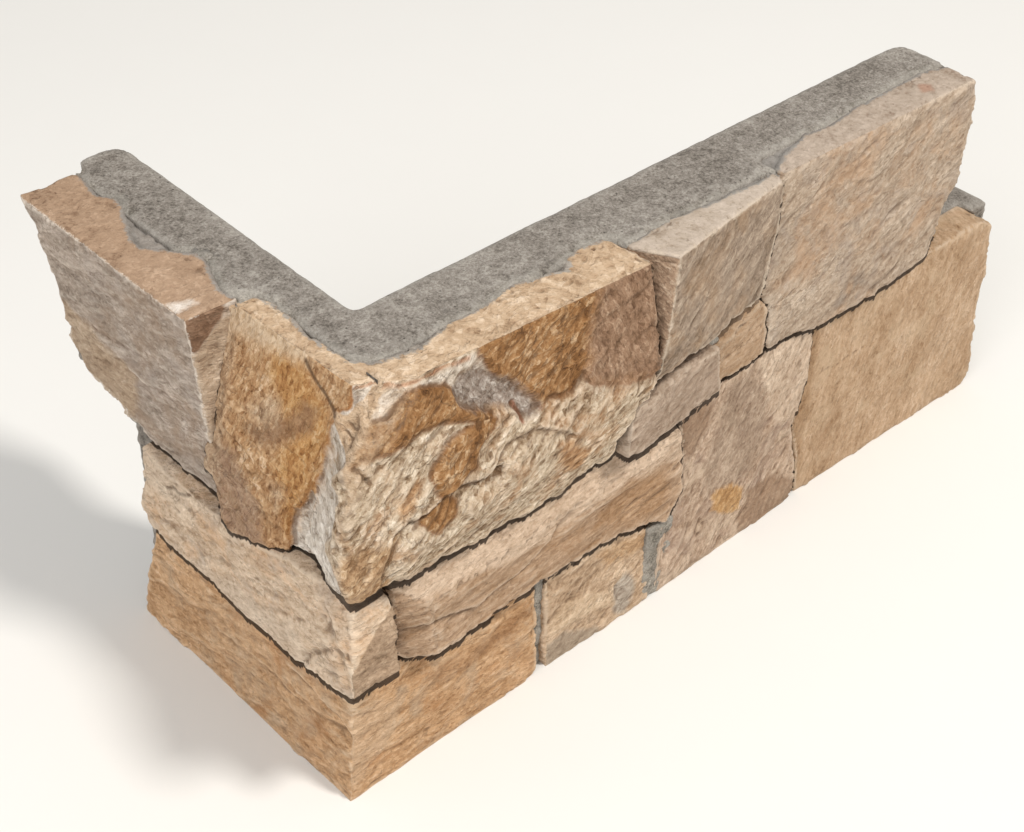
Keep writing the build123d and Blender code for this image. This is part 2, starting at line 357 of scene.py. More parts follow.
# relief of one stone: flaked scars, split layers, marks, worn arrises; what the finish needs is stored on the mesh
def carve(piece, arrises, look):
    mesh = piece.data
    edges = edgesOf(mesh)
    points = pointsOf(mesh)
    half = np.full(len(points), 0.5)
    points = relaxed(points, edges, half, 2)
    setPoints(mesh, points)
    normals = relaxed(normalsOf(mesh), edges, half, 2)
    normals /= np.maximum(np.linalg.norm(normals, axis=1), 1e-6)[:, None]
    seed = look["seed"]
    x, y, z = points.T
    arris = nearArris(points, arrises)
    proud = np.maximum(-x, -y)
    onTop = easeStep(normals[:, 2], 0.55, 0.75) * easeStep(z, topLevel - 12, topLevel - 8)
    shown = np.maximum(easeStep(proud, cementFront - 4, cementFront + 1), onTop)
    shown *= 1 - easeStep(-normals[:, 2], 0.7, 0.9) * (z < sawnFoot)

    ends, beds = sidesOf(normals, look["front"])
    fuller = np.maximum(ends * look["fuller"], beds * look["fullerBeds"])
    fuller *= (z > sawnFoot) * (z < topLevel - topRim)
    points = points + normals * fuller[:, None]
    if look["lean"]:   # the left end is split off at a slant, back to the next stone
        amount, front, heights, ends = look["lean"]
        edge = np.interp(z, heights, ends)
        slant = easeStep(x, edge + 9, edge + 1) * np.clip((front + y) / (front - cementFront), 0, 1)
        points[:, 0] -= slant * amount
    x, y, z = points.T

    turned = points @ np.array(layerAxes(look["layers"]))
    turned = turned / (look["stretch"], look["stretch"], 1.0)
    relief = noiseAt(points, look["swellSize"], seed, 2) * look["swell"]
    relief += stepped(noiseAt(turned, look["plateSize"], seed + 1, 3) * look["plate"], look["step"], 0.2)
    relief += scarsAt(turned, look["scarSize"], seed + 2) * look["scar"]
    relief += scarsAt(turned, look["scarSize"] * 0.32, seed + 3) * look["scar"] * 0.4
    relief += noiseAt(turned, look["roughSize"], seed + 4, 3) * look["rough"]

    wander = noiseAt(points, look["wanderSize"], seed + 5, 3) * look["wander"]
    wanderUp = noiseAt(points, look["wanderSize"], seed + 6, 3) * look["wander"]
    calm = np.ones(len(x))
    worked = np.zeros(len(x))
    soften = np.zeros(len(x))
    fields = {}
    for item in look["marks"]:
        item = {**commonMark, "side": look["front"], **item}
        onFace, a, b = placed(item["side"], points, normals)
        a = a + wander * item["wander"]
        b = b + wanderUp * item["wander"]
        slope = item["slope"]
        if item["kind"] == "patch":
            depth = insideDistance(a, b, item["line"])
            share = easeStep(depth, -slope, slope) * onFace
            worked += item["lift"] * share
            calm *= 1 - (1 - item["calm"]) * share
            soften = np.maximum(soften, item["round"] * share)
        else:
            far, side = segmentDistance(a, b, item["line"])
            depth = item["width"] - far
            if item["kind"] == "ledge":
                dropped = easeStep(-side * far, -slope, slope) * easeStep(far, item["reach"], 0)
            else:
                dropped = np.exp(-(far / item["width"]) ** 2)
            worked -= item["drop"] * dropped * onFace
        if item["paint"]:
            held = fields.get(item["paint"], np.full(len(x), farOff))
            fields[item["paint"]] = np.maximum(held, np.where(onFace, depth, farOff))

    points = relaxed(points, edges, soften * 0.5 * shown, look["roundRounds"])
    lift = relief * calm + worked - look["sink"]
    lift = lift * (1 - onTop) + onTop * (-0.4 - look["topRough"] * np.abs(relief))
    points = points + normals * (lift * shown)[:, None]

    worn = easeStep(noiseAt(points, look["wearSize"], seed + 7, 3), -0.5, 0.35)
    worn *= np.exp(-(arris / look["wear"]) ** 2) * shown
    points = relaxed(points, edges, np.clip(worn, 0, 0.9), look["wearRounds"])
    chips = easeStep(noiseAt(points, look["chipSize"], seed + 8, 3), 0.1, 0.22)
    chips *= np.exp(-(arris / look["chipReach"]) ** 2) * shown
    points = points - normals * (chips * look["chips"])[:, None]

    if look["onTop"]:   # the top dips under the cement's ragged edge
        far, side = segmentDistance(points[:, 0] + wander, points[:, 1] + wanderUp, cementEdge)
        high = points[:, 2] > topLevel - 9
        points[:, 2] -= easeStep(side * far, 0.4, 2.2) * high * (normals[:, 2] > 0.3) * 2.0
        fields["cementEdge"] = np.where(high, side * far, farOff)

    keepInBox(points)
    fields["crest"] = crestOf(points, edges, normals)
    fields["arris"] = arris + np.clip(cementFront + 6 - proud, 0, -farOff)
    fields["arris"] += look["ridgeOnly"] * np.clip(topLevel - topRim - z, 0, -farOff)
    fields["under"] = easeStep(-normals[:, 2], 0.02, 0.3) * easeStep(-normals[:, 2], 0.75, 0.5) * (z > 8)
    fields["topFace"] = (normals[:, 2] - 0.62) * turnToField
    fields["endFace"] = np.where(normals[:, 2] < 0.6, (-normals[:, 0] - 0.72) * turnToField, farOff)
    for spot in look["stains"]:
        fields.setdefault(spot["field"], np.full(len(x), farOff))
    setPoints(mesh, points)
    for name, values in fields.items():
        storeField(mesh, name, values)
    mesh.shade_smooth()


def keepInBox(points):
    low, high = [np.array(corner) / mm for corner in cadBox]
    np.clip(points, low + boxSlack, high - boxSlack, out=points)


# finishes

def displayTone(red, green, blue):   # a colour as a picture editor shows it
    return tuple(
        (c / 255 / 12.92 if c <= 10.3 else ((c / 255 + 0.055) / 1.055) ** 2.4) for c in (red, green, blue)
    ) + (1.0,)


def put(tree, kind, values=None, **settings):
    node = tree.nodes.new(kind)
    for key, value in settings.items():
        setattr(node, key, value)
    for key, value in (values or {}).items():
        if isinstance(value, bpy.types.NodeSocket):
            tree.links.new(value, node.inputs[key])
        else:
            node.inputs[key].default_value = value
    return node


def calc(operation, first, second=0.0, third=0.0):
    return put(first.id_data, "ShaderNodeMath", {0: first, 1: second, 2: third}, operation=operation).outputs[0]


def ranged(value, low, high, outLow=0.0, outHigh=1.0):
    values = {"Value": value, "From Min": low, "From Max": high, "To Min": outLow, "To Max": outHigh}
    return put(value.id_data, "ShaderNodeMapRange", values).outputs["Result"]


def weighted(parts):   # values added up, each at its own weight
    total = 0.0
    for value, weight in parts:
        total = calc("MULTIPLY_ADD", value, weight, total)
    return total


def fromMiddle(value):   # how far a noise lies from its middle
    return calc("ABSOLUTE", calc("SUBTRACT", value, 0.5))


def ruffled(field, rough, amount):   # a field whose edge a noise makes ragged
    return calc("MULTIPLY_ADD", calc("SUBTRACT", rough, 0.5), amount, field)


def blend(factor, first, second, how="MIX"):   # three plain numbers are a tone
    if isinstance(second, tuple) and len(second) == 3:
        second = displayTone(*second)
    values = {0: factor, 6: first, 7: second}
    return put(first.id_data, "ShaderNodeMix", values, data_type="RGBA", blend_type=how).outputs[2]


def ramp(factor, tones):
    node = put(factor.id_data, "ShaderNodeValToRGB", {"Fac": factor})
    stops = node.color_ramp.elements
    stops[0].position, stops[0].color = 0.0, displayTone(*tones[0])
    stops[1].position, stops[1].color = 1.0, displayTone(*tones[-1])
    for index, tone in enumerate(tones[1:-1], 1):
        stop = stops.new(index / (len(tones) - 1))
        stop.color = displayTone(*tone)
    return node.outputs["Color"]


def grainNoise(vector, size, detail, roughness, distortion=0.0, seed=0.0):
    values = {"Vector": vector, "W": seed * 1.7, "Scale": 1 / (size * mm), "Detail": detail,
              "Roughness": roughness, "Distortion": distortion}
    return put(vector.id_data, "ShaderNodeTexNoise", values, noise_dimensions="4D").outputs["Fac"]


def fieldOf(tree, name):
    return put(tree, "ShaderNodeAttribute", attribute_name=name).outputs["Fac"]


def newFinish(name):   # a new material with its nodes, its shader and the place on the object
    finish = bpy.data.materials.new(name)
    finish.use_nodes = True
    tree = finish.node_tree
    tree.nodes.clear()
    shader = put(tree, "ShaderNodeBsdfPrincipled")
    output = put(tree, "ShaderNodeOutputMaterial")
    tree.links.new(shader.outputs[0], output.inputs[0])
    place = put(tree, "ShaderNodeTexCoord").outputs["Object"]
    return finish, tree, shader, place


def dressShader(finish, tree, shader, colour, roughness, rise, gloss):
    bump = put(tree, "ShaderNodeBump", {"Height": rise, "Distance": mm})
    tree.links.new(colour, shader.inputs["Base Color"])
    tree.links.new(roughness, shader.inputs["Roughness"])
    tree.links.new(bump.outputs["Normal"], shader.inputs["Normal"])
    shader.inputs["Specular IOR Level"].default_value = gloss
    return finish


# light and dark of the grain along one lie of the rock, and its thin dark veins
def grainAlong(tree, place, look, layers, stretch):
    layered = put(tree, "ShaderNodeMapping", {
        "Vector": place, "Rotation": layerAxes(layers).to_euler(), "Scale": (stretch, stretch, 1.0),
    }, vector_type="TEXTURE").outputs["Vector"]
    crumbled = put(tree, "ShaderNodeMapping", {
        "Vector": place, "Rotation": layerAxes(layers).to_euler(), "Scale": (1.5, 1.5, 1.0),
    }, vector_type="TEXTURE").outputs["Vector"]
    seed = look["seed"]
    blotch = grainNoise(layered, look["blotchSize"], 3.0, 0.6, 0.6, seed)
    grain = grainNoise(layered, look["grainSize"], 7.0, 0.7, 0.0, seed)
    thread = grainNoise(layered, 1.6, 3.0, 0.7, 0.0, seed)
    grit = grainNoise(place, 1.0, 3.0, 0.7, 0.0, seed)
    crease = fromMiddle(grainNoise(layered, look["creaseSize"], 3.0, 0.6, 1.0, seed + 5))
    crease = ranged(crease, 0.0, 0.15, 1.0, 0.0)
    speckle = put(tree, "ShaderNodeTexVoronoi", {"Vector": crumbled, "Scale": 1 / (look["speckleSize"] * mm)})
    speckle = speckle.outputs["Color"]
    total = sum(look["shares"])
    shade = weighted(zip((blotch, grain, thread, grit, crease, speckle), look["shares"]))
    shade = ranged(shade, total * (0.5 - look["spread"]), total * (0.5 + look["spread"]))
    vein = fromMiddle(grainNoise(layered, look["veinSize"], 4.0, 0.6, 0.5, seed + 3))
    vein = ranged(vein, 0.0, look["veinWidth"], 1.0, 0.0)
    vein = calc("MULTIPLY", vein, ranged(blotch, 0.42, 0.6, 0.15, 1.0))
    rise = weighted(zip((grain, thread, grit, crease, speckle, vein), (*look["bumps"], -0.5 * look["veins"])))
    return shade, vein, rise, grit


def stoneFinish(name, look):
    finish, tree, shader, place = newFinish(name)
    seed = look["seed"]
    shade, vein, rise, grit = grainAlong(tree, place, look, look["layers"], look["stretch"])
    colour = ramp(shade, look["tones"])
    for tone, size, strength in look["washes"]:   # soft clouds of another tone
        seed += 1
        cloud = grainNoise(place, size, 5.0, 0.62, 0.8, seed)
        colour = blend(ranged(cloud, 0.5, 0.64, 0.0, strength), colour, tone)
    crest = fieldOf(tree, "crest")
    colour = blend(ranged(crest, 0.05, 0.45, 0.0, look["crestLight"]), colour, look["chipTone"])
    for spot in look["stains"]:
        spot = {**commonStain, **spot}
        spotShade = shade
        rough = grainNoise(place, 5.0, 6.0, 0.7, 0.0, seed)
        edge = calc("ADD", ruffled(fieldOf(tree, spot["field"]), rough, spot["ragged"]), spot["grow"])
        mask = ranged(edge, -spot["soft"], spot["soft"], 0.0, spot["strength"])
        if spot["layers"]:   # the rock lies another way there
            spotShade, _, spotRise, _ = grainAlong(tree, place, look, spot["layers"], spotStretch)
            rise = put(tree, "ShaderNodeMix", {0: mask, 2: rise, 3: spotRise}, data_type="FLOAT").outputs[0]
        colour = blend(mask, colour, ramp(spotShade, spot["tones"]))
        if spot["rim"]:
            band = calc("ABSOLUTE", calc("SUBTRACT", edge, 0.4))
            colour = blend(ranged(band, 0.0, spot["rimWidth"], spot["rimStrength"], 0.0), colour, spot["rim"])

    # painted shade and dirt: the stone is darker in its hollows
    colour = blend(ranged(crest, -0.05, -0.4, 0.0, look["hollowShadeAndDirt"]), colour, look["dirtAndShadeTone"])
    vein = calc("MULTIPLY", vein, ranged(fieldOf(tree, "topFace"), -0.5, 0.5, look["veins"], 0.12))
    colour = blend(vein, colour, look["dirtAndShadeTone"])
    arris = weighted([(grit, 3.0), (shade, 1.5), (fieldOf(tree, "arris"), 1.0)])
    arris = ranged(arris, look["arrisWidth"] + 1.4, look["arrisWidth"] + 2.6, look["arrisLight"], 0.0)
    colour = blend(arris, colour, look["chipTone"])
    specks = grainNoise(place, look["speckSize"], 2.0, 0.5, 0.0, seed)
    colour = blend(ranged(specks, 0.67, 0.72, 0.0, look["specks"]), colour, look["speckTone"])
    if look["onTop"]:   # cement smeared along its edge
        smear = ruffled(fieldOf(tree, "cementEdge"), shade, 3.0)
        smear = ranged(smear, -1.4, -0.2, 0.0, 0.85)
        colour = blend(smear, colour, ramp(shade, cementLook["smearTones"]))

    colour = blend(1.0, colour, look["gain"] + (1.0,), "MULTIPLY")
    colour = blend(fieldOf(tree, "under"), colour, look["paintedLightUnder"] + (1.0,), "MULTIPLY")   # painted light: undersides, which the lamps leave in shade, are made paler
    # painted shade and painted shadow: darker in the joints and below overhangs
    paintedShadeMask = ranged(ruffled(fieldOf(tree, "paintedShadeField"), grit, 0.3), 0.3, 0.55, 0.0, look["paintedShadeStrength"])
    colour = blend(paintedShadeMask, colour, look["paintedShadeTone"])
    return dressShader(finish, tree, shader, colour, ranged(shade, 0.2, 0.8, 0.95, 0.78), rise, 0.25)


# what every stone starts from; each stone's own dictionary changes what it needs
commonStone = {
    "voxel": 1.1, "onTop": False, "front": "long", "fillers": [], "marks": [], "stains": [],
    "fuller": 1.2, "fullerBeds": 0.3, "lean": None, "sink": 0.3, "topRough": 0.35,
    "layers": (0.2, 0.1, 1.0), "stretch": 2.4, "swell": 0.7, "plate": 1.1, "plateSize": 26, "step": 0.8,
    "scar": 1.4, "scarSize": 10, "rough": 0.4, "roughSize": 3.0, "swellSize": 45, "wander": 1.2, "wanderSize": 9,
    "wear": 1.5, "wearSize": 11, "wearRounds": 4, "roundRounds": 40, "chips": 0.8, "chipSize": 5.0, "chipReach": 2.2,
    "tones": [(120, 95, 72), (160, 132, 106), (182, 153, 125), (206, 180, 152)], "spread": 0.115, "washes": [],
    "blotchSize": 24, "grainSize": 6.0, "creaseSize": 4.0, "speckleSize": 1.3, "veinSize": 9, "veinWidth": 0.02,
    "shares": (0.75, 1.0, 0.55, 0.5, 0.12, 0.3),   # blotch, grain, thread, grit, crease and speckle in the tone
    "bumps": (1.5, 0.7, 0.55, 0.25, 0.25),         # grain, thread, grit, crease and speckle in the bump
    "veins": 0.4, "chipTone": (226, 206, 182), "dirtAndShadeTone": (98, 76, 57), "crestLight": 0.4, "hollowShadeAndDirt": 0.65,
    "arrisLight": 0.3, "arrisWidth": 0.8, "ridgeOnly": 0.0, "speckSize": 2.0, "specks": 0.4,
    "speckTone": (92, 68, 50), "paintedShadeStrength": 0.9, "paintedShadeTone": (50, 38, 29), "gain": (1.0, 1.0, 1.0),
    "paintedLightUnder": (1.0, 1.0, 1.0),
}

cementLook = {
    "node": "backing", "slot": "cement", "voxel": 1.9,
    "tones": [(106, 99, 91), (134, 126, 117), (153, 145, 136), (168, 160, 151), (188, 181, 171)],
    "smearTones": [(112, 108, 101), (140, 135, 128), (162, 157, 149)],
    "fringeTones": [(106, 100, 90), (142, 135, 124), (168, 160, 148), (204, 196, 183)],
    "cracks": [[(-34, 96), (-36, 91), (-34, 86), (-30, 84), (-29, 78)], [(-27, 73), (-23, 69), (-20, 70), (-17, 61)]],
    "hollowShadeTone": (70, 64, 58), "crackTone": (44, 40, 36), "crestTone": (190, 184, 175), "pitTone": (66, 60, 54),
    "shares": (0.55, 0.9, 1.1), "spread": 0.19, "pitSize": 4.5,   # blotch, grain and grit in the tone
    "shortEnd": 146.6, "shortStep": 104, "longEnd": 327.5, "longStep": 115,   # how far each leg reaches over its step
}

shortTopLook = {
    "node": "short_top_stone", "slot": "brown_stone", "seed": 3, "onTop": True, "front": "short", "fullerBeds": 1.9,
    "paintedShadeStrength": 0.8, "gain": (1.12, 1.14, 1.18), "fillers": [((-31, 46, 190), (-15, 145, 199.6))],
    "layers": (0.25, 0.3, 1.0), "stretch": 3.0, "scar": 1.1, "scarSize": 9, "plate": 0.9, "rough": 0.45,
    "tones": [(100, 86, 74), (136, 121, 106), (158, 142, 126), (178, 161, 145), (204, 188, 172)],
    "washes": [((150, 124, 100), 34, 0.55), ((166, 152, 140), 22, 0.4)], "arrisLight": 0.8, "arrisWidth": 0.9,
    "chipTone": (232, 218, 200),
    "marks": [
        patch([(-140, 158), (-123, 153), (-104, 148), (-83, 146), (-88, 122), (-98, 110), (-140, 110)], paint="tan"),
        ledge([(-132, 142), (-127, 141), (-110, 142), (-96, 145), (-80, 145)], drop=1.8, reach=12),
        patch([(-56, 49), (-41, 44), (-40, 40), (-56, 40)], side="plan", paint="powder"),
        patch([(-60, 120), (-60, 186), (-48, 184), (-36, 196), (-30, 196), (-30, 120)], side="long", paint="tan"),
        # painted shade: the end facet under the top keeps its brown and is darkened as in shade
        patch([(-56, 200), (-38, 203), (-32, 198), (-48, 184), (-56, 186)], side="long", paint="endFacet"),
    ],
    "stains": [
        stain("tan", [(122, 99, 76), (162, 137, 111), (180, 156, 129), (204, 182, 156)], ragged=7.0, soft=2.0,
            strength=0.8),
        stain("topFace", [(112, 84, 62), (154, 126, 101), (168, 139, 113), (190, 161, 134)], ragged=1.5, soft=0.4,
            layers=(0.0, 0.3, 1.0)),
        stain("powder", [(176, 156, 136), (214, 200, 184), (238, 228, 216)], ragged=8.0, soft=1.2, strength=0.85),
        # painted shade: dark brown tones of the end facet
        stain("endFacet", [(84, 60, 44), (116, 88, 67), (150, 120, 95)], ragged=2.0, soft=0.6),
    ],
}

shortLedgeLook = {
    "node": "short_ledge_stone", "slot": "ledge_stone", "seed": 5, "front": "short", "fullerBeds": 0.9,
    "gain": (1.2, 1.22, 1.24), "layers": (0.1, 0.35, 1.0), "scar": 1.6, "scarSize": 15,
    "tones": [(134, 107, 82), (172, 146, 120), (192, 168, 143), (210, 188, 164), (232, 210, 186)],
    "washes": [((206, 166, 128), 24, 0.5), ((168, 152, 138), 18, 0.5)], "veins": 0.55,
    "marks": [
        ledge([(44, 108), (46, 103), (50, 96), (55, 90), (62, 80)], drop=1.8, reach=8),
        ledge([(60, 94), (48, 92), (38, 83), (30, 71)], drop=1.4, reach=9),
        patch([(-36, 71), (-19, 77), (-2, 80), (13, 83), (24, 85), (31, 78), (28, 60), (-60, 60)], paint="pale",
            calm=0.5),
        patch([(-112, 116), (-60, 114), (-44, 104), (-58, 92), (-80, 88), (-112, 92)], paint="pale"),
        crack([(-65, 97), (-60, 100), (-55, 100), (-49, 104)], drop=0.5, width=0.7, paint="crackLine"),
        # painted shade: the end facet is darkened as in shade
        patch([(-29, 107), (-36, 101), (-44, 95), (-60, 83), (-60, 50), (-20, 50), (-20, 107)], side="long",
            paint="endFacet"),
    ],
    "stains": [
        stain("pale", [(150, 130, 110), (184, 163, 141), (200, 180, 158), (218, 200, 178)], ragged=9.0, soft=3.0,
            strength=0.8),
        # painted shade: darker tones of the end facet
        stain("endFacet", [(104, 83, 63), (144, 119, 95), (168, 142, 117), (192, 166, 140)], ragged=1.2),
        # dark crack line: the crack's own dark and painted shade in it
        stain("crackLine", [(78, 66, 54), (104, 90, 76)], ragged=1.5, strength=0.7),
    ],
}

bodyEdge = [(10, 128), (6.5, 138.6), (2, 145), (-1, 146.5), (-5.5, 146), (-0.4, 154.6), (0.5, 160), (2.7, 168),
            (0.4, 169.5), (-0.6, 172), (4.5, 178), (6, 180), (9, 182), (10, 185), (11, 187)]
skinEdge = [(7.6, 205), (6.8, 198.6), (6, 191), (4.5, 190), (-0.2, 187.6), (-5, 182.7), (-5.6, 180), (-4.6, 177),
            (-7.7, 170), (-12.5, 159), (-16, 154), (-20, 144), (-24, 140), (-26.7, 139), (-28, 134), (-29, 125),
            (-29, 100)]

